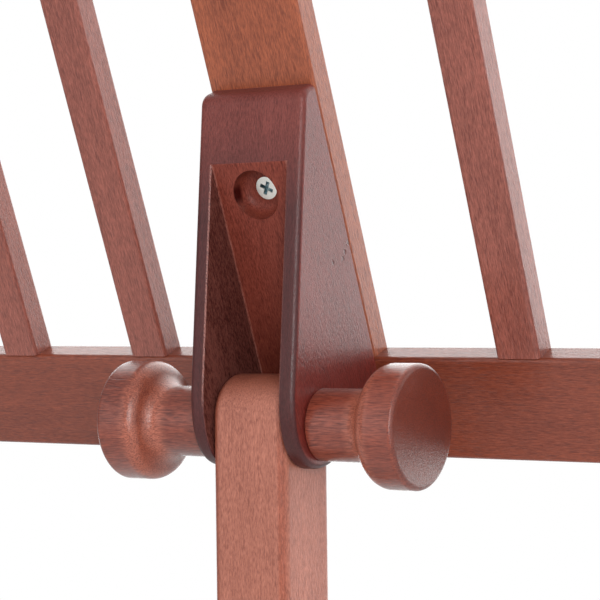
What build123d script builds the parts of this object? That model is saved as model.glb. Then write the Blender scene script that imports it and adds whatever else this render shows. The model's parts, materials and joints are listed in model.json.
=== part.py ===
from build123d import *
from math import acos, cos, degrees, radians, sin
import os

# Wooden music stand: a slatted desk hangs on a slotted bracket, the bracket tilts on a rod
# through a square post, and the post slides in a square column on a four-legged foot.
# Millimetres. +Z is up, the musician sits on the -Y side, and the origin is on the floor
# under the column's centre.

# ---- driving dimensions -------------------------------------------------------------
pivot_height = 900.0      # tilt axis above the floor at the stored height
lean = 21.95              # desk's lean from the vertical, top towards +Y

post_width = 25.0
post_length = 640.0
post_edge = 3.0           # rounding of the post's long edges
post_crown = 1.9          # centre of the round top above the tilt axis

slat_thickness = 9.2
slat_width = 13.7
centre_slat_width = 36.0
slat_length = 268.0       # between the rails
first_slat = 65.7         # from the desk's middle to the first narrow slat
slat_pitch = 53.2
slats_each_side = 4
slat_edge = 1.2

desk_width = 480.0
desk_back = 33.8          # back of the slats in front of the tilt axis
rail_low = -27.0          # bottom rail's lower edge, up the desk from the tilt axis
rail_height = 32.9
top_rail_height = 26.0
rail_edge = 1.4
desk_corner = 6.0

tenon_thickness = 5.0
tenon_length = 12.0
tenon_shoulder = 2.0
glue_gap = 0.05

ledge_depth = 36.0
ledge_thickness = 8.0
lip_height = 13.0
lip_thickness = 6.0
ledge_edge = 1.0
lip_edge = 1.5
ledge_dowel_radius = 2.5
ledge_dowel_length = 22.0

bracket_width = 36.0
bracket_low = -12.9
bracket_top = 91.3
bracket_tip = 5.9         # thickness at the top
bracket_tip_radius = 4.2
bracket_edge = 2.0
slot_width = 26.0
slot_floor = 18.9         # floor of the slot in front of the tilt axis
counterbore_radius = 7.5
counterbore_depth = 6.0
counterbore_dish = 3.5     # rounding of its floor into its wall
slot_edge = 0.35
bracket_screw_heights = (63.6, -3.5)
screw_head_radius = 3.45
screw_head_height = 2.1
screw_radius = 2.0
screw_length = 16.0
screw_point = 5.0
cross_length = 4.3
cross_width = 1.15
cross_depth = 1.6
cross_turn = 28.0

rod_radius = 4.0
running_gap = 0.05        # radial, rod in a hole
tilt_rod_length = 76.0

knob_neck_radius = 10.5
knob_head_radius = 17.85
knob_neck_length = 14.0
knob_cove_radius = 5.6
knob_shoulder_radius = 5.2
knob_length = 32.8
knob_edge = 1.6
insert_radius = 6.0
insert_length = 16.0

column_width = 48.0
column_low = 60.0
column_top = 640.0
column_bore = 25.6
column_edge = 3.0
plug_length = 25.0
collar_width = 62.0
collar_height = 16.0
collar_bore = 25.5

clamp_height = 612.0
boss_radius = 20.0
boss_thickness = 10.0
pad_radius = 5.0
pad_thickness = 3.0
pad_gap = 0.02
pad_pocket = 5.0
clamp_standoff = 4.0      # boss to knob when the clamp is tight

block_width = 72.0
block_low = 56.0
block_height = 120.0
block_edge = 4.0

leg_thickness = 22.0
leg_reach = 278.0
leg_sole = 246.0
toe_radius = 13.0
leg_edge = 3.0
leg_top = 165.0
leg_root = 75.0
foot_radius = 10.0
foot_height = 4.0
foot_reach = 262.0
leg_dowel_radius = 4.5
leg_dowel_length = 40.0
leg_dowel_start = 18.0    # inner ends of the dowels, out from the column's centre
leg_dowel_heights = (98.0, 142.0)

# ---- derived places -----------------------------------------------------------------
pivot = (0, 0, pivot_height)
desk_up = (0, sin(radians(lean)), cos(radians(lean)))
desk_out = (0, -cos(radians(lean)), sin(radians(lean)))
desk_plane = Plane(origin=pivot, x_dir=(1, 0, 0), z_dir=desk_out)
side_plane = Plane(origin=pivot, x_dir=desk_out, z_dir=(-1, 0, 0))
desk_front = desk_back + slat_thickness
rail_top = rail_low + rail_height
top_rail_low = rail_top + slat_length
bracket_half = bracket_width / 2
screw_seat = slot_floor + counterbore_depth
column_half = column_width / 2
column_wall = (column_width - column_bore) / 2
block_half = block_width / 2
slat_places = [
    side * (first_slat + slat_pitch * step)
    for side in (-1, 1)
    for step in range(slats_each_side)
]
slat_places.sort()

os.makedirs("parts", exist_ok=True)


def save(piece, name):
    """Label a finished piece and write it under the same name."""
    piece.part.label = name
    export_step(piece.part, f"parts/{name}.step")


def tenon_width(width):
    return width - 2 * tenon_shoulder


# ---- desk ---------------------------------------------------------------------------
def make_slat(place, width):
    """One upright slat with a stub tenon at each end."""
    with BuildPart() as slat:
        with BuildSketch(desk_plane.offset(desk_back)):
            with Locations((place, rail_top + slat_length / 2)):
                Rectangle(width, slat_length)
        extrude(amount=slat_thickness)
        long_edges = slat.edges().filter_by(lambda edge: edge.length > slat_length - 1)
        fillet(long_edges, slat_edge)
        tenon_total = slat_length + 2 * tenon_length
        with BuildSketch(desk_plane.offset(desk_back + (slat_thickness - tenon_thickness) / 2)):
            with Locations((place, rail_top + slat_length / 2)):
                Rectangle(tenon_width(width), tenon_total)
        extrude(amount=tenon_thickness)
    return slat


def make_rail(low, height, corner_row):
    """A horizontal rail; corner_row (0 low, -1 high) is the row of outer corners."""
    with BuildPart() as rail:
        with BuildSketch(desk_plane.offset(desk_back)) as outline:
            with Locations((0, low + height / 2)):
                Rectangle(desk_width, height)
            corners = outline.vertices().group_by(Axis.Y)[corner_row]
            fillet(corners, desk_corner)
        extrude(amount=slat_thickness)
        faces = rail.faces().filter_by(lambda face: abs(face.normal_at().dot(Vector(desk_out))) > 0.99)
        fillet(faces.edges(), rail_edge)
        mortise = tenon_thickness + 2 * glue_gap
        with BuildSketch(desk_plane.offset(desk_back + (slat_thickness - mortise) / 2)):
            end = rail_top if corner_row == 0 else top_rail_low
            with Locations((0, end)):
                Rectangle(tenon_width(centre_slat_width) + 2 * glue_gap, 2 * tenon_length + 1)
            with Locations(*[(place, end) for place in slat_places]):
                Rectangle(tenon_width(slat_width) + 2 * glue_gap, 2 * tenon_length + 1)
        extrude(amount=mortise, mode=Mode.SUBTRACT)
    return rail


def drill_pilots(heights):
    """Blind pilot holes for the bracket screws, from the desk's back face."""
    with BuildSketch(desk_plane.offset(desk_back)) as pilots:
        with Locations(*[(0, height) for height in heights]):
            Circle(screw_radius + glue_gap)
    tip = screw_seat + screw_length - desk_back
    extrude(pilots.sketch, amount=tip + 0.5, mode=Mode.SUBTRACT)


ledge_dowel_height = rail_low + ledge_thickness / 2
ledge_dowel_places = [(x, ledge_dowel_height) for x in (-200, -100, 0, 100, 200)]
ledge_dowel_start = desk_front - ledge_dowel_length / 3
with BuildPart() as bottom_rail:
    add(make_rail(rail_low, rail_height, 0).part)
    drill_pilots(bracket_screw_heights[1:])
    with BuildSketch(desk_plane.offset(ledge_dowel_start - 0.5)):
        with Locations(*ledge_dowel_places):
            Circle(ledge_dowel_radius + glue_gap)
    extrude(amount=ledge_dowel_length, mode=Mode.SUBTRACT)
save(bottom_rail, "bottom_rail")

top_rail = make_rail(top_rail_low, top_rail_height, -1)
save(top_rail, "top_rail")

with BuildPart() as centre_slat:
    add(make_slat(0, centre_slat_width).part)
    drill_pilots(bracket_screw_heights)
save(centre_slat, "centre_slat")

for number, place in enumerate(slat_places, start=1):
    save(make_slat(place, slat_width), f"slat_{number}")

with BuildPart() as music_ledge:
    with BuildSketch(desk_plane.offset(desk_front)):
        with Locations((0, ledge_dowel_height)):
            Rectangle(desk_width, ledge_thickness)
    extrude(amount=ledge_depth)
    fillet(music_ledge.edges().filter_by(Axis.X), ledge_edge)
    with BuildSketch(desk_plane.offset(desk_front)):
        with Locations(*ledge_dowel_places):
            Circle(ledge_dowel_radius + glue_gap)
    extrude(amount=ledge_dowel_length * 2 / 3 + 0.5, mode=Mode.SUBTRACT)
save(music_ledge, "music_ledge")

with BuildPart() as ledge_lip:
    with BuildSketch(desk_plane.offset(desk_front + ledge_depth)):
        with Locations((0, rail_low + lip_height / 2)):
            Rectangle(desk_width, lip_height)
    extrude(amount=lip_thickness)
    fillet(ledge_lip.edges(), lip_edge)
save(ledge_lip, "ledge_lip")

with BuildPart() as ledge_dowels:
    with BuildSketch(desk_plane.offset(ledge_dowel_start)):
        with Locations(*ledge_dowel_places):
            Circle(ledge_dowel_radius)
    extrude(amount=ledge_dowel_length)
save(ledge_dowels, "ledge_dowels")

# ---- bracket ------------------------------------------------------------------------
# Side outline, (out from the axis, up the desk): flat on the slat, a straight front face,
# and a foot that curves round below the rod between foot_back and foot_front.
foot_back = (2.2, bracket_low)
foot_back_pull = (-8.6, bracket_low)
foot_front_pull = (-21.1, -5.2)
foot_front = (-9.8, 17.0)
with BuildPart() as bracket:
    with BuildSketch(side_plane) as bracket_outline:
        with BuildLine():
            Line((desk_back, bracket_low), foot_back)
            Bezier(foot_back, foot_back_pull, foot_front_pull, foot_front)
            Polyline(
                foot_front,
                (desk_back - bracket_tip, bracket_top),
                (desk_back, bracket_top),
                (desk_back, bracket_low),
            )
        make_face()
        tip_corner = bracket_outline.vertices().sort_by(Axis.Y)[-2:].sort_by(Axis.X)[0]
        fillet(tip_corner, bracket_tip_radius)
    extrude(amount=bracket_half, both=True)
    back_face_depth = Vector(pivot).dot(Vector(desk_out)) + desk_back
    rim = bracket.faces().filter_by(Axis.X).edges().filter_by(
        lambda edge: abs((edge @ 0.5).dot(Vector(desk_out)) - back_face_depth) > 0.1
    )
    fillet(rim, bracket_edge)
    with BuildSketch(desk_plane.offset(slot_floor)):
        with Locations((0, (bracket_low + bracket_top) / 2)):
            Rectangle(slot_width, bracket_top - bracket_low + 20)
    extrude(amount=-60, mode=Mode.SUBTRACT)
    half_slot = slot_width / 2
    arrises = bracket.edges().filter_by(
        lambda edge: all(abs(abs(corner.X) - half_slot) < 0.01 for corner in edge.vertices())
        and (edge @ 0.5 - Vector(pivot)).dot(Vector(desk_out)) < slot_floor - 0.1
    )
    slot_top = bracket.edges().filter_by(Axis.X).filter_by(
        lambda edge: abs(edge.length - slot_width) < 0.01
    ).sort_by(Axis.Z)[-1]
    chamfer(arrises + ShapeList([slot_top]), slot_edge)
    with BuildSketch(side_plane):
        Circle(rod_radius + running_gap)
    extrude(amount=bracket_width, both=True, mode=Mode.SUBTRACT)
    with BuildSketch(desk_plane.offset(slot_floor)):
        with Locations(*[(0, height) for height in bracket_screw_heights]):
            Circle(counterbore_radius)
    extrude(amount=counterbore_depth, mode=Mode.SUBTRACT)
    bore_floors = bracket.edges().filter_by(GeomType.CIRCLE).filter_by(
        lambda edge: abs(edge.radius - counterbore_radius) < 0.01
        and abs((edge.arc_center - Vector(pivot)).dot(Vector(desk_out)) - screw_seat) < 0.01
    )
    fillet(bore_floors, counterbore_dish)
    with BuildSketch(desk_plane.offset(slot_floor)):
        with Locations(*[(0, height) for height in bracket_screw_heights]):
            Circle(screw_radius + glue_gap)
    extrude(amount=desk_back - slot_floor, mode=Mode.SUBTRACT)
    for height in bracket_screw_heights:
        with BuildSketch(desk_plane.offset(screw_seat)):
            with Locations((0, height)):
                Circle(screw_head_radius + glue_gap)
        with BuildSketch(desk_plane.offset(screw_seat + screw_head_height)):
            with Locations((0, height)):
                Circle(screw_radius)
        loft(mode=Mode.SUBTRACT)
save(bracket, "bracket")

# Countersunk wood screws with a cross recess, heads flush with the counterbores' floors.
with BuildPart() as bracket_screws:
    for height in bracket_screw_heights:
        with BuildSketch(desk_plane.offset(screw_seat)):
            with Locations((0, height)):
                Circle(screw_head_radius)
        with BuildSketch(desk_plane.offset(screw_seat + screw_head_height)) as neck:
            with Locations((0, height)):
                Circle(screw_radius - glue_gap)
        loft()
        shank_length = screw_length - screw_head_height - screw_point
        extrude(neck.sketch, amount=shank_length)
        with BuildSketch(desk_plane.offset(screw_seat + screw_length - screw_point)):
            with Locations((0, height)):
                Circle(screw_radius - glue_gap)
        extrude(amount=screw_point, taper=17)
        with BuildSketch(desk_plane.offset(screw_seat)):
            with Locations((0, height)):
                Rectangle(cross_length, cross_width, rotation=cross_turn)
                Rectangle(cross_width, cross_length, rotation=cross_turn)
        extrude(amount=cross_depth, mode=Mode.SUBTRACT)
save(bracket_screws, "bracket_screws")


# ---- turned knobs and their hardware ------------------------------------------------
def make_knob(plane, bore_depth):
    """A turned knob: plane's z runs out along the knob from the end of its neck."""
    rise = (knob_head_radius - knob_neck_radius) / (knob_cove_radius + knob_shoulder_radius)
    turn = degrees(acos(1 - rise))
    profile_plane = Plane(origin=plane.origin, x_dir=plane.z_dir, z_dir=plane.x_dir)
    with BuildPart() as knob:
        with BuildSketch(profile_plane):
            with BuildLine():
                Line((0, 0), (0, knob_neck_radius - 0.6))
                Line((0, knob_neck_radius - 0.6), (0.6, knob_neck_radius))
                neck = Line((0.6, knob_neck_radius), (knob_neck_length, knob_neck_radius))
                cove = JernArc(neck @ 1, (1, 0), knob_cove_radius, turn)
                shoulder = JernArc(cove @ 1, cove % 1, knob_shoulder_radius, -turn)
                rim = Line(shoulder @ 1, (knob_length - knob_edge, knob_head_radius))
                JernArc(rim @ 1, (1, 0), knob_edge, -90)
                Line((knob_length, knob_head_radius - knob_edge), (knob_length, 0))
                Line((knob_length, 0), (0, 0))
            make_face()
        revolve(axis=Axis(plane.origin, plane.z_dir))
        with BuildSketch(plane):
            Circle(insert_radius + glue_gap)
        extrude(amount=insert_length, mode=Mode.SUBTRACT)
        with BuildSketch(plane):
            Circle(rod_radius + 0.3)
        extrude(amount=bore_depth, mode=Mode.SUBTRACT)
    return knob


def make_insert(plane, length):
    """A threaded brass insert with a screwdriver slot across its outer end."""
    with BuildPart() as insert:
        with BuildSketch(plane):
            Circle(insert_radius)
            Circle(rod_radius + running_gap, mode=Mode.SUBTRACT)
        extrude(amount=length)
        with BuildSketch(plane):
            Rectangle(2 * insert_radius, 1.2)
        extrude(amount=1.5, mode=Mode.SUBTRACT)
    return insert


def make_rod(plane, length):
    """A threaded rod, plain here, with chamfered ends; plane's z runs along it."""
    with BuildPart() as rod:
        with BuildSketch(plane):
            Circle(rod_radius)
        extrude(amount=length)
        chamfer(rod.edges(), 0.5)
    return rod


left_plane = Plane(origin=(-bracket_half, 0, pivot_height), x_dir=(0, 0, 1), z_dir=(-1, 0, 0))
right_plane = Plane(origin=(bracket_half, 0, pivot_height), x_dir=(0, 0, 1), z_dir=(1, 0, 0))
knob_bore = tilt_rod_length / 2 - bracket_half + 3
for side, plane in (("left", left_plane), ("right", right_plane)):
    save(make_knob(plane, knob_bore), f"knob_{side}")
    save(make_insert(plane, insert_length), f"insert_{side}")
save(make_rod(right_plane.offset(-bracket_half - tilt_rod_length / 2), tilt_rod_length), "tilt_rod")

# ---- sliding post -------------------------------------------------------------------
post_half = post_width / 2
post_bottom = pivot_height + post_crown + post_half - post_length
with BuildPart() as inner_post:
    with BuildSketch(Plane.YZ):
        with BuildLine():
            shoulder_height = pivot_height + post_crown
            Polyline(
                (-post_half, shoulder_height),
                (-post_half, post_bottom),
                (post_half, post_bottom),
                (post_half, shoulder_height),
            )
            ThreePointArc(
                (post_half, shoulder_height),
                (0, shoulder_height + post_half),
                (-post_half, shoulder_height),
            )
        make_face()
    extrude(amount=post_half, both=True)
    upper_rim = inner_post.faces().filter_by(Axis.X).edges().filter_by(
        lambda edge: edge.center().Z > post_bottom + 1
    )
    fillet(upper_rim, post_edge)
    chamfer(inner_post.faces().sort_by(Axis.Z)[0].edges(), 1.0)
    with BuildSketch(Plane.YZ):
        with Locations((0, pivot_height)):
            Circle(rod_radius + running_gap)
    extrude(amount=post_width, both=True, mode=Mode.SUBTRACT)
save(inner_post, "inner_post")

# ---- column -------------------------------------------------------------------------
column_length = column_top - column_low
cover_front = -column_half + column_wall


def drill_leg_dowels(reach, depth):
    """Radial dowel holes on the four sides, from a distance out, towards the axis."""
    for quarter in range(4):
        angle = radians(90 * quarter)
        outward = (cos(angle), sin(angle), 0)
        face_centre = (reach * cos(angle), reach * sin(angle), 0)
        start = Plane(origin=face_centre, x_dir=(-sin(angle), cos(angle), 0), z_dir=outward)
        with BuildSketch(start) as holes:
            with Locations(*[(0, height) for height in leg_dowel_heights]):
                Circle(leg_dowel_radius + glue_gap)
        extrude(holes.sketch, amount=-depth, mode=Mode.SUBTRACT)


column_dowel_depth = column_half - leg_dowel_start + 0.5
with BuildPart() as column_channel:
    with BuildSketch(Plane.XY.offset(column_low)):
        with Locations((0, column_wall / 2)):
            Rectangle(column_width, column_width - column_wall)
        Rectangle(column_bore, 2 * column_half - 2 * column_wall, mode=Mode.SUBTRACT)
    extrude(amount=column_length)
    outer_edges = column_channel.edges().filter_by(Axis.Z).group_by(Axis.Y)[-1]
    fillet(outer_edges, column_edge)
    with BuildSketch(Plane.YZ):
        with Locations((0, clamp_height)):
            Circle(pad_radius + 0.2)
    extrude(amount=column_half, mode=Mode.SUBTRACT)
    with BuildSketch(Plane.YZ.offset(column_bore / 2 + pad_pocket)):
        with Locations((0, clamp_height)):
            Circle(insert_radius + glue_gap)
    extrude(amount=column_wall, mode=Mode.SUBTRACT)
    drill_leg_dowels(column_half, column_dowel_depth)
save(column_channel, "column_channel")

with BuildPart() as column_cover:
    with BuildSketch(Plane.XY.offset(column_low)):
        with Locations((0, cover_front - column_wall / 2)):
            Rectangle(column_width, column_wall)
    extrude(amount=column_length)
    fillet(column_cover.edges().filter_by(Axis.Z).group_by(Axis.Y)[0], column_edge)
    drill_leg_dowels(column_half, column_dowel_depth)
save(column_cover, "column_cover")

with BuildPart() as column_plug:
    with BuildSketch(Plane.XY.offset(column_low)):
        Rectangle(column_bore - 2 * glue_gap, column_bore - 2 * glue_gap)
    extrude(amount=plug_length)
save(column_plug, "column_plug")

with BuildPart() as collar:
    with BuildSketch(Plane.XY.offset(column_top)):
        RectangleRounded(collar_width, collar_width, 5)
    extrude(amount=collar_height)
    fillet(collar.faces().sort_by(Axis.Z)[-1].edges(), 4)
    chamfer(collar.faces().sort_by(Axis.Z)[0].edges(), 1)
    with BuildSketch(Plane.XY.offset(column_top)):
        RectangleRounded(collar_bore, collar_bore, post_edge - 0.5)
    extrude(amount=collar_height, mode=Mode.SUBTRACT)
save(collar, "collar")

# ---- height clamp -------------------------------------------------------------------
# A knob on a rod threads through an insert in the column and presses a pad on the post.
boss_face = column_half + boss_thickness
with BuildPart() as clamp_boss:
    with BuildSketch(Plane.YZ.offset(column_half)):
        with Locations((0, clamp_height)):
            Circle(boss_radius)
    extrude(amount=boss_thickness)
    fillet(clamp_boss.faces().sort_by(Axis.X)[-1].edges(), 3)
    with BuildSketch(Plane.YZ.offset(column_half)):
        with Locations((0, clamp_height)):
            Circle(insert_radius + glue_gap)
    extrude(amount=boss_thickness, mode=Mode.SUBTRACT)
save(clamp_boss, "clamp_boss")

insert_start = column_bore / 2 + pad_pocket
clamp_insert_end = Plane(origin=(boss_face, 0, clamp_height), x_dir=(0, 0, 1), z_dir=(-1, 0, 0))
save(make_insert(clamp_insert_end, boss_face - insert_start), "clamp_insert")

pad_face = post_half + pad_gap
with BuildPart() as clamp_pad:
    with BuildSketch(Plane.YZ.offset(pad_face)):
        with Locations((0, clamp_height)):
            Circle(pad_radius)
    extrude(amount=pad_thickness)
save(clamp_pad, "clamp_pad")

clamp_knob_plane = Plane(
    origin=(boss_face + clamp_standoff, 0, clamp_height), x_dir=(0, 0, 1), z_dir=(1, 0, 0)
)
clamp_rod_start = pad_face + pad_thickness
clamp_rod_end = boss_face + clamp_standoff + insert_length + 3
save(make_knob(clamp_knob_plane, insert_length + 6), "clamp_knob")
save(make_insert(clamp_knob_plane, insert_length), "clamp_knob_insert")
clamp_rod_plane = Plane(origin=(clamp_rod_start, 0, clamp_height), x_dir=(0, 0, 1), z_dir=(1, 0, 0))
save(make_rod(clamp_rod_plane, clamp_rod_end - clamp_rod_start), "clamp_rod")

# ---- foot ---------------------------------------------------------------------------
with BuildPart() as base_block:
    with BuildSketch(Plane.XY.offset(block_low)):
        RectangleRounded(block_width, block_width, block_edge)
    extrude(amount=block_height)
    fillet(base_block.faces().sort_by(Axis.Z)[-1].edges(), 5)
    chamfer(base_block.faces().sort_by(Axis.Z)[0].edges(), 1.5)
    with BuildSketch(Plane.XY.offset(block_low)):
        Rectangle(column_width, column_width)
    extrude(amount=block_height, mode=Mode.SUBTRACT)
    drill_leg_dowels(block_half, block_half - column_half)
save(base_block, "base_block")


def make_leg(angle):
    """One shaped leg, standing out from the base block in the given direction."""
    out = (cos(radians(angle)), sin(radians(angle)), 0)
    across = (sin(radians(angle)), -cos(radians(angle)), 0)
    leg_plane = Plane(origin=(0, 0, 0), x_dir=out, z_dir=across)
    toe_top = foot_height + 2 * toe_radius
    with BuildPart() as leg:
        with BuildSketch(leg_plane):
            with BuildLine():
                Bezier((block_half, leg_top), (96, leg_top - 2), (170, toe_top + 6), (leg_reach, toe_top))
                ThreePointArc(
                    (leg_reach, toe_top),
                    (leg_reach + toe_radius, foot_height + toe_radius),
                    (leg_reach, foot_height),
                )
                Line((leg_reach, foot_height), (leg_sole, foot_height))
                Bezier((leg_sole, foot_height), (180, 6), (120, leg_root - 3), (block_half, leg_root))
                Line((block_half, leg_root), (block_half, leg_top))
            make_face()
        extrude(amount=leg_thickness / 2, both=True)
        side_faces = leg.faces().filter_by(lambda face: abs(face.normal_at().dot(Vector(across))) > 0.99)
        rim = side_faces.edges().filter_by(lambda edge: (edge @ 0.5).dot(Vector(out)) > block_half + 0.1)
        fillet(rim, leg_edge)
        root = Plane(origin=leg_plane.from_local_coords((block_half, 0, 0)), x_dir=across, z_dir=out)
        with BuildSketch(root):
            with Locations(*[(0, -height) for height in leg_dowel_heights]):
                Circle(leg_dowel_radius + glue_gap)
        extrude(amount=leg_dowel_start + leg_dowel_length - block_half + 0.5, mode=Mode.SUBTRACT)
    return leg


with BuildPart() as leg_dowels:
    for quarter in range(4):
        angle = radians(90 * quarter)
        outward = (cos(angle), sin(angle), 0)
        inner_end = (leg_dowel_start * cos(angle), leg_dowel_start * sin(angle), 0)
        start = Plane(origin=inner_end, x_dir=(-sin(angle), cos(angle), 0), z_dir=outward)
        with BuildSketch(start):
            with Locations(*[(0, height) for height in leg_dowel_heights]):
                Circle(leg_dowel_radius)
        extrude(amount=leg_dowel_length)
save(leg_dowels, "leg_dowels")

for quarter in range(4):
    save(make_leg(90 * quarter), f"leg_{quarter + 1}")
    angle = radians(90 * quarter)
    with BuildPart() as foot_pad:
        with BuildSketch(Plane.XY):
            with Locations((foot_reach * cos(angle), foot_reach * sin(angle))):
                Circle(foot_radius)
        extrude(amount=foot_height)
        fillet(foot_pad.faces().sort_by(Axis.Z)[0].edges(), 0.8)
    save(foot_pad, f"foot_pad_{quarter + 1}")
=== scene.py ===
"""Looks of the wooden music stand: stained and varnished wood, zinc, brass and rubber."""
import json
import math

import bpy
from mathutils import Matrix, Vector


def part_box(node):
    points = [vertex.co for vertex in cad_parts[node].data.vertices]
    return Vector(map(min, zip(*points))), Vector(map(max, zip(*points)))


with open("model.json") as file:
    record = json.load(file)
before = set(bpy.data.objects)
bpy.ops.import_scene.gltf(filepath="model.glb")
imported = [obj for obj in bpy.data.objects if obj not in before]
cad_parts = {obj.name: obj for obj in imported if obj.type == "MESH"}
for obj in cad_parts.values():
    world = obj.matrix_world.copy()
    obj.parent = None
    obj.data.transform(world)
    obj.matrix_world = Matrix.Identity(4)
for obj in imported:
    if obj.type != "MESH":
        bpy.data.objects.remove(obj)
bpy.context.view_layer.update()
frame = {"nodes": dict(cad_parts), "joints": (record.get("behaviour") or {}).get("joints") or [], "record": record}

# ---- places read from the frame -------------------------------------------------------
JOINTS = {joint["name"]: joint for joint in frame["joints"]}
PIVOT = Vector(JOINTS["desk_tilt"]["pos_m"])
MOUNTS = {mount["name"]: mount for mount in frame["record"]["mounts"]}
DESK_OUT = Vector(MOUNTS["desk_face"]["axis"]).normalized()
DESK_UP = Vector(MOUNTS["ledge_face"]["axis"]).normalized()
ACROSS = Vector((1, 0, 0))
UP = Vector((0, 0, 1))


# ---- node helpers ---------------------------------------------------------------------
def add_node(tree, kind, settings=None, **inputs):
    """A node of that kind, with its properties set and its inputs linked or filled in."""
    node = tree.nodes.new(kind)
    for key, value in (settings or {}).items():
        setattr(node, key, value)
    for key, value in inputs.items():
        socket = node.inputs[int(key[1:])] if key[0] == "_" else node.inputs[key.replace("_", " ")]
        if isinstance(value, bpy.types.NodeSocket):
            tree.links.new(value, socket)
        else:
            socket.default_value = value
    return node


def math_node(tree, operation, first, second=0.0):
    return add_node(tree, "ShaderNodeMath", {"operation": operation}, _0=first, _1=second).outputs[0]


def vector_node(tree, operation, first, second):
    """The result of a vector operation; for a dot product or a distance it is a number."""
    node = add_node(tree, "ShaderNodeVectorMath", {"operation": operation}, _0=first, _1=second)
    return node.outputs["Value" if operation in ("DOT_PRODUCT", "DISTANCE") else "Vector"]


def dot(tree, first, second):
    return vector_node(tree, "DOT_PRODUCT", first, second)


def object_place(tree):
    return add_node(tree, "ShaderNodeTexCoord").outputs["Object"]


def how_much_along(tree, way):
    """How nearly the surface faces along a direction, either way, from 0 to 1."""
    normal = add_node(tree, "ShaderNodeTexCoord").outputs["Normal"]
    return math_node(tree, "ABSOLUTE", dot(tree, normal, way))


def noise(tree, vector, scale, detail=2.0, roughness=0.5):
    return add_node(
        tree, "ShaderNodeTexNoise", None,
        Vector=vector, Scale=scale, Detail=detail, Roughness=roughness, Distortion=0.0,
    ).outputs["Fac"]


def stretch(tree, vector, scales, turn=(0, 0, 0), shift=(0, 0, 0)):
    return add_node(
        tree, "ShaderNodeMapping", None, Vector=vector, Location=shift, Rotation=turn, Scale=scales
    ).outputs[0]


def remap(tree, value, low, high, to_low=0.0, to_high=1.0):
    node = add_node(tree, "ShaderNodeMapRange", {"clamp": True})
    tree.links.new(value, node.inputs["Value"])
    limits = {"From Min": low, "From Max": high, "To Min": to_low, "To Max": to_high}
    for key, number in limits.items():
        node.inputs[key].default_value = number
    return node.outputs[0]


def mix_colour(tree, factor, first, second, blend="MIX"):
    node = add_node(tree, "ShaderNodeMix", {"data_type": "RGBA", "blend_type": blend})
    for socket, value in ((node.inputs[0], factor), (node.inputs[6], first), (node.inputs[7], second)):
        if isinstance(value, bpy.types.NodeSocket):
            tree.links.new(value, socket)
        else:
            socket.default_value = value
    return node.outputs[2]


def tinted(tree, factor, colour, tint):
    """The colour, multiplied by a tint where the factor is 1."""
    return mix_colour(tree, factor, colour, mix_colour(tree, 1.0, colour, tint, "MULTIPLY"))


def new_material(name):
    material = bpy.data.materials.new(name)
    material.use_nodes = True
    tree = material.node_tree
    tree.nodes.clear()
    shader = tree.nodes.new("ShaderNodeBsdfPrincipled")
    output = tree.nodes.new("ShaderNodeOutputMaterial")
    tree.links.new(shader.outputs[0], output.inputs[0])
    return material, tree, shader


# ---- stained wood ---------------------------------------------------------------------
# How fine each part of the pattern is, per metre: across the grain twice, then along it.
BEND = (14, 14, 3)
FIBRES = (3300, 3300, 1300)
LINES = (2500, 2500, 300)
STREAKS = (260, 260, 8)
BLOTCH = (60, 60, 25)
PORES = (3400, 3400, 700)
PEEL = 1500.0                                # the varnish's own fine ripple
BEND_WIDTH = 0.010


def wood_group():
    """Tone, gloss and relief of stained beech; the input vector's Z runs along the grain."""
    group = bpy.data.node_groups.new("stained_beech", "ShaderNodeTree")
    for name, kind, way in (
        ("Vector", "NodeSocketVector", "INPUT"),
        ("Tone", "NodeSocketFloat", "OUTPUT"),
        ("Fleck", "NodeSocketFloat", "OUTPUT"),
        ("Gloss", "NodeSocketFloat", "OUTPUT"),
        ("Height", "NodeSocketFloat", "OUTPUT"),
    ):
        group.interface.new_socket(name, in_out=way, socket_type=kind)
    source = group.nodes.new("NodeGroupInput").outputs[0]
    target = group.nodes.new("NodeGroupOutput")
    bend = noise(group, stretch(group, source, BEND), 1.0, 2.0)
    bend_vector = add_node(
        group, "ShaderNodeVectorMath", {"operation": "SCALE"}, _0=bend, Scale=BEND_WIDTH
    ).outputs[0]
    bent = vector_node(group, "ADD", source, bend_vector)
    fibres = noise(group, stretch(group, bent, FIBRES), 1.0, 3.0, 0.70)
    lines = noise(group, stretch(group, bent, LINES), 1.0, 2.0, 0.60)
    streaks = noise(group, stretch(group, bent, STREAKS), 1.0, 3.0, 0.55)
    blotch = noise(group, stretch(group, source, BLOTCH), 1.0, 3.0, 0.55)
    pores = noise(group, stretch(group, bent, PORES), 1.0, 1.0, 0.5)
    tone = math_node(group, "MULTIPLY", fibres, 0.80)
    tone = math_node(group, "ADD", tone, math_node(group, "MULTIPLY", lines, 0.26))
    tone = math_node(group, "ADD", tone, math_node(group, "MULTIPLY", streaks, 0.12))
    tone = math_node(group, "ADD", tone, math_node(group, "MULTIPLY", blotch, 0.28))
    group.links.new(remap(group, tone, 0.585, 0.895), target.inputs["Tone"])
    fleck = remap(group, pores, 0.59, 0.67)
    group.links.new(fleck, target.inputs["Fleck"])
    peel = noise(group, source, PEEL, 2.0, 0.6)
    group.links.new(remap(group, peel, 0.3, 0.7, -0.04, 0.05), target.inputs["Gloss"])
    height = math_node(group, "MULTIPLY", fibres, 0.8)
    height = math_node(group, "SUBTRACT", height, math_node(group, "MULTIPLY", fleck, 0.4))
    height = math_node(group, "ADD", height, math_node(group, "MULTIPLY", peel, 0.9))
    group.links.new(height, target.inputs["Height"])
    return group


def grain_turn(grain):
    """Rotation that carries the grain's direction onto Z."""
    return Vector(grain).rotation_difference(UP).to_euler()


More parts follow.
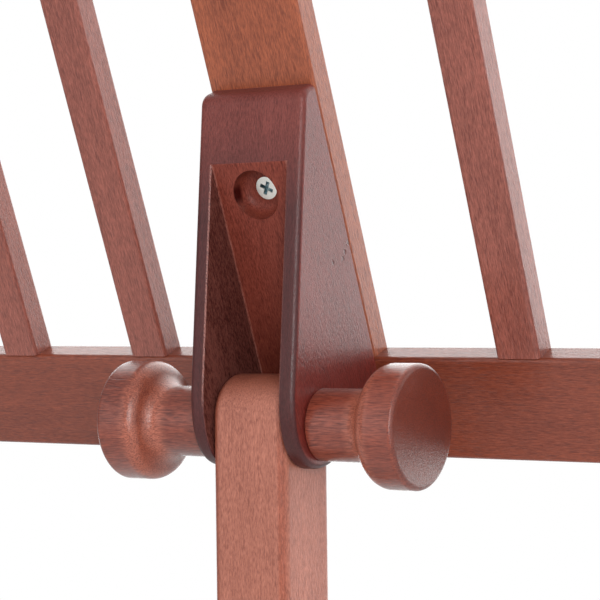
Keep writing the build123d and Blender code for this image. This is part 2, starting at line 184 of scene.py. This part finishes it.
# Each stain: its middle colour, the roughness under the varnish, the varnish's weight and
# roughness, how strongly the grain shows, and how short its pattern is along the grain.
STAINS = {
    "bracket": ((0.138, 0.0180, 0.0135), 0.48, 0.70, 0.22, 1.1, 0.55),
    "knob": ((0.180, 0.0350, 0.0190), 0.42, 0.85, 0.13, 1.35, 0.25),
    "rail": ((0.180, 0.0355, 0.0160), 0.48, 0.75, 0.12, 1.0, 0.30),
    "slat": ((0.222, 0.0610, 0.0430), 0.48, 0.72, 0.17, 1.1, 0.35),
    "centre": ((0.260, 0.0630, 0.0265), 0.48, 0.65, 0.22, 1.15, 0.35),
    "post": ((0.350, 0.1210, 0.0820), 0.60, 0.45, 0.28, 0.9, 0.50),
    "foot": ((0.190, 0.0470, 0.0260), 0.45, 0.75, 0.17, 1.0, 0.40),
}
FRONT_WAY = Vector((0, 0.9963, 0.0862))       # out of the bracket's front faces
FRONT_ALONG = Vector((0, -0.0862, 0.9963))    # up them
FRONT_POINT = PIVOT + 0.0170 * DESK_UP - 0.0098 * DESK_OUT
FRONT_STAIN = (0.058, 0.0100, 0.0100)         # the bracket's front faces, beside the slot
CROWN_STAIN = (0.150, 0.0330, 0.0270)         # and above it
# painted highlight along the slot's arrises and wall-floor corners
EDGE_HIGHLIGHT_COLOUR = (0.30, 0.11, 0.085, 1)
DENT_STAIN = (0.03, 0.006, 0.005, 1)
SLOT_HALF = 0.0130
SLOT_END = 0.0634                             # top of the slot, up the front from FRONT_POINT

# Tints that multiply the stain; the walls' and the post edges' tints are painted shade, the coves' tint a painted
# highlight, and the end-grain tint partly painted shade.
SLOT_TINT = (1.20, 1.80, 1.50, 1)             # the slot's floor
WALL_SHADE_TINT = (0.24, 0.05, 0.05, 1)             # painted shade: the slot's side walls darkened
POST_EDGE_SHADE_TINT = (0.80, 0.60, 0.50, 1)             # painted shade: the post's rounded edges darkened, standing for the dark reflection there
END_GRAIN_AND_SHADE_TINT = (0.66, 0.55, 0.50, 1)              # end grain, darker; on the post's rounded top this is also painted shade
COVE_HIGHLIGHT_TINT = (1.85, 2.70, 3.00, 1)           # painted highlight: the tilt knobs' coves lightened
COVE = (0.0300, 0.0350, 0.0385, 0.0430)       # where those coves begin and end, from the middle

# Small dents in the bracket's side towards -X, near its back: up the desk and out of it.
BRACKET_SIDE = PIVOT - 0.018 * ACROSS
DENT_PLACES = (
    (0.0438, 0.0349), (0.0429, 0.0333), (0.0411, 0.0307), (0.0399, 0.0290), (0.0406, 0.0233),
)
DENTS = [BRACKET_SIDE + up * DESK_UP + out * DESK_OUT for up, out in DENT_PLACES]


def front_masks(tree, place):
    """Bracket masks: front faces and rounded edges, the slot, its walls, and painted highlights along the slot's
    arrises and inner corners.
    """
    offset = vector_node(tree, "SUBTRACT", place, FRONT_POINT)
    depth = dot(tree, offset, FRONT_WAY)
    above_slot = remap(tree, dot(tree, offset, FRONT_ALONG), SLOT_END - 0.0001, SLOT_END + 0.0001)
    below_top = math_node(tree, "SUBTRACT", 1.0, above_slot)
    side = math_node(tree, "ABSOLUTE", dot(tree, place, ACROSS))
    outside_slot = remap(tree, side, SLOT_HALF - 0.0001, SLOT_HALF + 0.0001)
    near_wall = remap(tree, side, SLOT_HALF + 0.0002, SLOT_HALF + 0.0006, 1.0, 0.0)
    in_slot = math_node(tree, "MULTIPLY", near_wall, below_top)
    not_side = remap(tree, how_much_along(tree, ACROSS), 0.90, 0.985, 1.0, 0.0)
    front = math_node(tree, "MULTIPLY", not_side, math_node(tree, "MAXIMUM", outside_slot, above_slot))
    inside = math_node(tree, "MULTIPLY", math_node(tree, "SUBTRACT", 1.0, outside_slot), below_top)
    wall = math_node(tree, "MULTIPLY", in_slot, math_node(tree, "SUBTRACT", 1.0, not_side))
    near_front = math_node(tree, "MULTIPLY", remap(tree, depth, -0.00060, -0.00030), below_top)
    in_band = math_node(
        tree, "MULTIPLY", remap(tree, side, SLOT_HALF - 0.0003, SLOT_HALF),
        remap(tree, side, SLOT_HALF + 0.0003, SLOT_HALF + 0.0005, 1.0, 0.0),
    )
    crown = remap(tree, dot(tree, offset, FRONT_ALONG), SLOT_END - 0.015, SLOT_END + 0.012)
    # painted highlight lines along the slot's front arrises and its wall-floor corners
    corner_highlight = math_node(tree, "MULTIPLY", inside, remap(tree, side, SLOT_HALF - 0.0007, SLOT_HALF - 0.0005))
    edge_highlight = math_node(tree, "MULTIPLY", near_front, in_band)
    return front, crown, inside, wall, math_node(tree, "MAXIMUM", edge_highlight, corner_highlight)


def dent_mask(tree, place):
    """Small ragged dents where the bracket has been knocked."""
    ragged = noise(tree, place, 900.0, 2.0, 0.6)
    total = None
    for point in DENTS:
        gap = vector_node(tree, "DISTANCE", place, point)
        gap = math_node(tree, "ADD", gap, math_node(tree, "MULTIPLY", ragged, 0.0020))
        dent = remap(tree, gap, 0.0013, 0.0018, 1.0, 0.0)
        total = dent if total is None else math_node(tree, "MAXIMUM", total, dent)
    return total


def stain_colour(tree, wood, middle, contrast):
    """The stain's colour, deeper and paler with the grain and darkest in the flecks."""
    deep = (*(part * (1 - drop * contrast) for part, drop in zip(middle, (0.34, 0.42, 0.44))), 1)
    pale = (*(part * (1 + rise * contrast) for part, rise in zip(middle, (0.40, 0.50, 0.50))), 1)
    colour = mix_colour(tree, wood.outputs["Tone"], deep, pale)
    fleck = math_node(tree, "MULTIPLY", wood.outputs["Fleck"], 0.55 * contrast)
    return mix_colour(tree, fleck, colour, (middle[0] * 0.45, middle[1] * 0.34, middle[2] * 0.34, 1))


def grained(tree, place, grain, seed, shortness):
    """The wood pattern along a direction, shifted so that no two pieces share it."""
    shift = (0.37 * seed, 0.73 * seed, 1.31 * seed)
    wood = add_node(tree, "ShaderNodeGroup", {"node_tree": bpy.data.node_groups["stained_beech"]})
    turned = stretch(tree, place, (1, 1, 1), grain_turn(grain))
    along = stretch(tree, turned, (1, 1, shortness), (0, 0, 0), shift)
    tree.links.new(along, wood.inputs[0])
    return wood


def stained_wood(name, grain, seed, stain, bump=0.00004):
    """Varnished stained beech with its grain along a direction, different for each piece; on some parts it also
    paints shade and highlights.
    """
    middle, roughness, coat, coat_roughness, contrast, shortness = STAINS[stain]
    material, tree, shader = new_material(name)
    place = object_place(tree)
    wood = grained(tree, place, grain, seed, shortness)
    colour = stain_colour(tree, wood, middle, contrast)
    if stain == "bracket":
        front, crown, inside, wall, edge_highlight = front_masks(tree, place)
        colour = tinted(tree, inside, colour, SLOT_TINT)
        # painted shade: the slot's side walls are darkened
        colour = tinted(tree, wall, colour, WALL_SHADE_TINT)
        front_wood = grained(tree, place, FRONT_ALONG, seed + 40, shortness)
        front_colour = mix_colour(
            tree, crown,
            stain_colour(tree, front_wood, FRONT_STAIN, 0.9),
            stain_colour(tree, front_wood, CROWN_STAIN, 0.9),
        )
        colour = mix_colour(tree, front, colour, front_colour)
        # painted highlight: the slot's arrises and inner corners made paler, broken up by the grain
        edge_highlight = math_node(tree, "MULTIPLY", edge_highlight, remap(tree, wood.outputs["Tone"], 0.2, 0.7, 0.1, 0.8))
        colour = mix_colour(tree, edge_highlight, colour, EDGE_HIGHLIGHT_COLOUR)
        edges = remap(tree, math_node(tree, "MULTIPLY", front, crown), 0.0, 1.0, 0.45, 0.65)
        dull = math_node(tree, "MAXIMUM", math_node(tree, "MULTIPLY", front, edges), inside)
        dull = math_node(tree, "MAXIMUM", dull, wall)
        tree.links.new(remap(tree, dull, 0.0, 1.0, coat, 0.12 * coat), shader.inputs["Coat Weight"])
    else:
        ends = remap(tree, how_much_along(tree, grain), 0.45, 0.92)
        # darker end grain: partly the stain's real uptake, partly painted shade on the post's rounded top
        colour = tinted(tree, ends, colour, END_GRAIN_AND_SHADE_TINT)
    if stain == "post":
        sideways = how_much_along(tree, ACROSS)
        off_front = remap(tree, sideways, 0.15, 0.45)
        off_side = remap(tree, sideways, 0.75, 0.95, 1.0, 0.0)
        # painted shade: the rounded edges between the post's front and sides are darkened
        colour = tinted(tree, math_node(tree, "MULTIPLY", off_front, off_side), colour, POST_EDGE_SHADE_TINT)
    if stain == "knob":
        across = math_node(tree, "ABSOLUTE", dot(tree, place, ACROSS))
        past_neck = remap(tree, across, *COVE[:2])
        before_head = remap(tree, across, *COVE[2:], 1.0, 0.0)
        # painted highlight: a lighter ring on each knob's cove, between neck and head
        colour = tinted(tree, math_node(tree, "MULTIPLY", past_neck, before_head), colour, COVE_HIGHLIGHT_TINT)
    height = wood.outputs["Height"]
    if stain == "bracket":
        dents = dent_mask(tree, place)
        colour = mix_colour(tree, math_node(tree, "MULTIPLY", dents, 0.6), colour, DENT_STAIN)
        height = math_node(tree, "SUBTRACT", height, math_node(tree, "MULTIPLY", dents, 4.0))
    tree.links.new(colour, shader.inputs["Base Color"])
    rough = math_node(tree, "ADD", wood.outputs["Gloss"], roughness)
    tree.links.new(rough, shader.inputs["Roughness"])
    for socket, depth in (("Normal", bump), ("Coat Normal", 2.4 * bump)):
        relief = add_node(tree, "ShaderNodeBump", None, Height=height, Strength=1.0, Distance=depth)
        tree.links.new(relief.outputs[0], shader.inputs[socket])
    shader.inputs["Specular IOR Level"].default_value = 0.15
    if stain != "bracket":
        shader.inputs["Coat Weight"].default_value = coat
    shader.inputs["Coat Roughness"].default_value = coat_roughness
    return material


# ---- metal, rubber and leather --------------------------------------------------------
SCREW_RECESS = PIVOT + 0.0253 * DESK_OUT       # a point in the plane that the cross recess starts at
# painted shade in the screws' cross recess
RECESS_SHADE_COLOUR = (0.26, 0.34, 0.37, 1)


def worn_metal_and_recess_shade(name, colour, roughness, recess_point=None, recess_way=None):
    """Metal with fine marks; beyond the recess plane, when there is one, it is darker: painted shade in the
    recess.
    """
    material, tree, shader = new_material(name)
    place = object_place(tree)
    marks = noise(tree, place, 1800.0, 3.0, 0.6)
    rough = remap(tree, marks, 0.3, 0.7, roughness - 0.06, roughness + 0.12)
    tree.links.new(rough, shader.inputs["Roughness"])
    shade = mix_colour(tree, marks, tuple(0.8 * c for c in colour[:3]) + (1,), colour)
    if recess_point is not None:
        # painted shade: darker in the cross recess, below the plane of the screw head
        offset = vector_node(tree, "SUBTRACT", place, recess_point)
        deep = remap(tree, dot(tree, offset, recess_way), 0.0, 0.0002)
        shade = mix_colour(tree, deep, shade, RECESS_SHADE_COLOUR)
    tree.links.new(shade, shader.inputs["Base Color"])
    shader.inputs["Metallic"].default_value = 1.0
    return material


def dull_material(name, colour, roughness, grain_scale, bump):
    material, tree, shader = new_material(name)
    place = object_place(tree)
    speck = noise(tree, place, grain_scale, 3.0, 0.6)
    dark = tuple(0.7 * c for c in colour[:3]) + (1,)
    tree.links.new(mix_colour(tree, speck, dark, colour), shader.inputs["Base Color"])
    rough = remap(tree, speck, 0.3, 0.7, roughness - 0.08, roughness + 0.08)
    tree.links.new(rough, shader.inputs["Roughness"])
    relief = add_node(tree, "ShaderNodeBump", None, Height=speck, Strength=1.0, Distance=bump).outputs[0]
    tree.links.new(relief, shader.inputs["Normal"])
    return material


# ---- finishing the frame's own nodes --------------------------------------------------
def paint(node, material):
    mesh = frame["nodes"][node].data
    mesh.materials.clear()
    mesh.materials.append(material)


wood_group()
SLATS = [name for name in frame["nodes"] if name.startswith("slat_")]
LEGS = [name for name in frame["nodes"] if name.startswith("leg_") and name != "leg_dowels"]
GRAIN = {name: DESK_UP for name in SLATS + ["centre_slat", "bracket"]}
GRAIN.update({name: ACROSS for name in ("bottom_rail", "top_rail", "music_ledge", "ledge_lip")})
GRAIN.update({name: ACROSS for name in ("knob_left", "knob_right", "clamp_knob", "clamp_boss", "collar")})
GRAIN.update({name: UP for name in ("inner_post", "column_channel", "column_cover", "base_block")})
for name in LEGS:
    low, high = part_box(name)
    middle = (low + high) / 2
    GRAIN[name] = Vector((middle.x, middle.y, 0)).normalized()
STAIN_OF = {"bracket": "bracket", "centre_slat": "centre", "inner_post": "post"}
STAIN_OF.update({name: "slat" for name in SLATS})
STAIN_OF.update({name: "rail" for name in ("bottom_rail", "top_rail", "music_ledge", "ledge_lip")})
STAIN_OF.update({name: "knob" for name in ("knob_left", "knob_right", "clamp_knob")})
for seed, (name, grain) in enumerate(sorted(GRAIN.items()), start=1):
    paint(name, stained_wood("wood_" + name, grain, seed, STAIN_OF.get(name, "foot")))

zinc = worn_metal_and_recess_shade("zinc", (0.62, 0.64, 0.66, 1), 0.28)
plated = worn_metal_and_recess_shade("zinc_screw", (0.93, 0.92, 0.86, 1), 0.34, SCREW_RECESS, DESK_OUT)
brass = worn_metal_and_recess_shade("brass_machined", (0.72, 0.50, 0.22, 1), 0.25)
rubber = dull_material("rubber_black", (0.030, 0.030, 0.032, 1), 0.7, 1500.0, 0.00003)
leather = dull_material("leather_brown", (0.30, 0.17, 0.09, 1), 0.75, 1200.0, 0.0001)
beech = dull_material("beech_bare", (0.62, 0.42, 0.25, 1), 0.6, 600.0, 0.00005)
SLOT_LOOKS = {
    "zinc_steel": zinc, "brass": brass, "rubber": rubber, "leather_pad": leather, "plain_beech": beech,
}
for entry in frame["record"]["subparts"]:
    if entry["material_slot"] in SLOT_LOOKS:
        paint(entry["node"], SLOT_LOOKS[entry["material_slot"]])
paint("bracket_screws", plated)


# ---- stage, light and camera ----------------------------------------------------------
FLOOR_RADIUS = 4.0


def make_floor():
    """A pale floor that melts into the white backdrop well away from the stand."""
    bpy.ops.mesh.primitive_circle_add(
        vertices=128, radius=FLOOR_RADIUS, fill_type="NGON", location=(0, 0, -0.0002)
    )
    floor = bpy.context.object
    floor.name = "floor"
    material, tree, shader = new_material("floor_pale")
    place = object_place(tree)
    mottle = noise(tree, place, 3.0, 3.0, 0.5)
    shade = mix_colour(tree, mottle, (0.60, 0.60, 0.60, 1), (0.64, 0.64, 0.64, 1))
    tree.links.new(shade, shader.inputs["Base Color"])
    shader.inputs["Roughness"].default_value = 0.6
    away = add_node(tree, "ShaderNodeVectorMath", {"operation": "LENGTH"}, _0=place).outputs["Value"]
    fade = remap(tree, away, 0.25 * FLOOR_RADIUS, 0.75 * FLOOR_RADIUS)
    white = add_node(tree, "ShaderNodeEmission", None, Color=(1, 1, 1, 1), Strength=1.0)
    path = add_node(tree, "ShaderNodeLightPath").outputs["Is Camera Ray"]
    blend = add_node(
        tree, "ShaderNodeMixShader", None,
        _0=math_node(tree, "MULTIPLY", fade, path), _1=shader.outputs[0], _2=white.outputs[0],
    )
    output = next(node for node in tree.nodes if node.type == "OUTPUT_MATERIAL")
    tree.links.new(blend.outputs[0], output.inputs[0])
    floor.data.materials.append(material)


BACKDROP_WAY = Vector((0.10, -0.95, 0.20)).normalized()
BACKDROP_LIGHT = 2.5
ROOM_LIGHT = 0.40
CEILING_LIGHT = 0.80


def make_world():
    """A white studio lit brightest behind the object; the backdrop itself is plain white."""
    world = bpy.data.worlds.new("studio")
    bpy.context.scene.world = world
    world.use_nodes = True
    tree = world.node_tree
    tree.nodes.clear()
    way = add_node(tree, "ShaderNodeTexCoord").outputs["Generated"]
    facing = dot(tree, way, BACKDROP_WAY)
    height = add_node(tree, "ShaderNodeSeparateXYZ", None, Vector=way).outputs[2]
    backdrop = remap(tree, facing, 0.42, 0.72, 0.0, BACKDROP_LIGHT - ROOM_LIGHT)
    ceiling = remap(tree, height, 0.35, 0.80, 0.0, CEILING_LIGHT - ROOM_LIGHT)
    extra = math_node(tree, "MAXIMUM", backdrop, ceiling)
    strength = math_node(tree, "ADD", extra, ROOM_LIGHT)
    around = add_node(tree, "ShaderNodeBackground", None, Color=(1, 1, 1, 1), Strength=strength)
    seen = add_node(tree, "ShaderNodeBackground", None, Color=(1, 1, 1, 1), Strength=1.0)
    path = add_node(tree, "ShaderNodeLightPath")
    mixed = add_node(
        tree, "ShaderNodeMixShader", None,
        _0=path.outputs["Is Camera Ray"], _1=around.outputs[0], _2=seen.outputs[0],
    )
    output = tree.nodes.new("ShaderNodeOutputWorld")
    tree.links.new(mixed.outputs[0], output.inputs[0])


def make_area(name, place, target, size, power):
    light = bpy.data.lights.new(name, "AREA")
    light.shape = "RECTANGLE"
    light.size, light.size_y = size
    light.energy = power
    lamp = bpy.data.objects.new(name, light)
    bpy.context.collection.objects.link(lamp)
    lamp.location = Vector(place)
    lamp.rotation_euler = (Vector(place) - Vector(target)).to_track_quat("Z", "Y").to_euler()
    lamp.visible_camera = False
    return lamp


AZIMUTH, ELEVATION, ROLL = (math.radians(angle) for angle in (32.352, 1.291, -0.677))
CAMERA_FROM_PIVOT = Vector((-0.3364, 0.5079, 0.0372))
LENS = 125.66
SENSOR_WIDTH = 36.0
FRAMING_SHIFT = (-0.0204, 0.0700)


def make_camera():
    back = Vector((
        -math.sin(AZIMUTH) * math.cos(ELEVATION),
        math.cos(AZIMUTH) * math.cos(ELEVATION),
        math.sin(ELEVATION),
    ))
    right = (-back).cross(UP).normalized()
    up = right.cross(-back)
    tilted_right = math.cos(ROLL) * right + math.sin(ROLL) * up
    tilted_up = math.cos(ROLL) * up - math.sin(ROLL) * right
    data = bpy.data.cameras.new("camera")
    data.sensor_width = SENSOR_WIDTH
    data.lens = LENS
    data.shift_x, data.shift_y = FRAMING_SHIFT
    data.clip_start = 0.05
    camera = bpy.data.objects.new("camera", data)
    bpy.context.collection.objects.link(camera)
    basis = Matrix((tilted_right, tilted_up, back)).transposed()
    camera.matrix_world = Matrix.Translation(PIVOT + CAMERA_FROM_PIVOT) @ basis.to_4x4()
    bpy.context.scene.camera = camera


make_floor()
make_world()
LEFT_OF_CAMERA = Vector((0.845, 0.535, 0))
TO_CAMERA = Vector((-0.535, 0.845, 0))
for light_name, towards, left, above, size, power in (
    ("key", 1.0, 1.25, 0.25, (1.5, 1.4), 7.5),
    ("fill", 1.0, -1.2, 0.30, (1.8, 1.6), 9.0),
    ("front", 1.4, -0.15, 0.28, (0.55, 0.55), 11.5),
):
    light_place = PIVOT + towards * TO_CAMERA + left * LEFT_OF_CAMERA + above * UP
    make_area(light_name, light_place, PIVOT, size, power)
make_camera()
bpy.context.scene.view_settings.view_transform = "Standard"
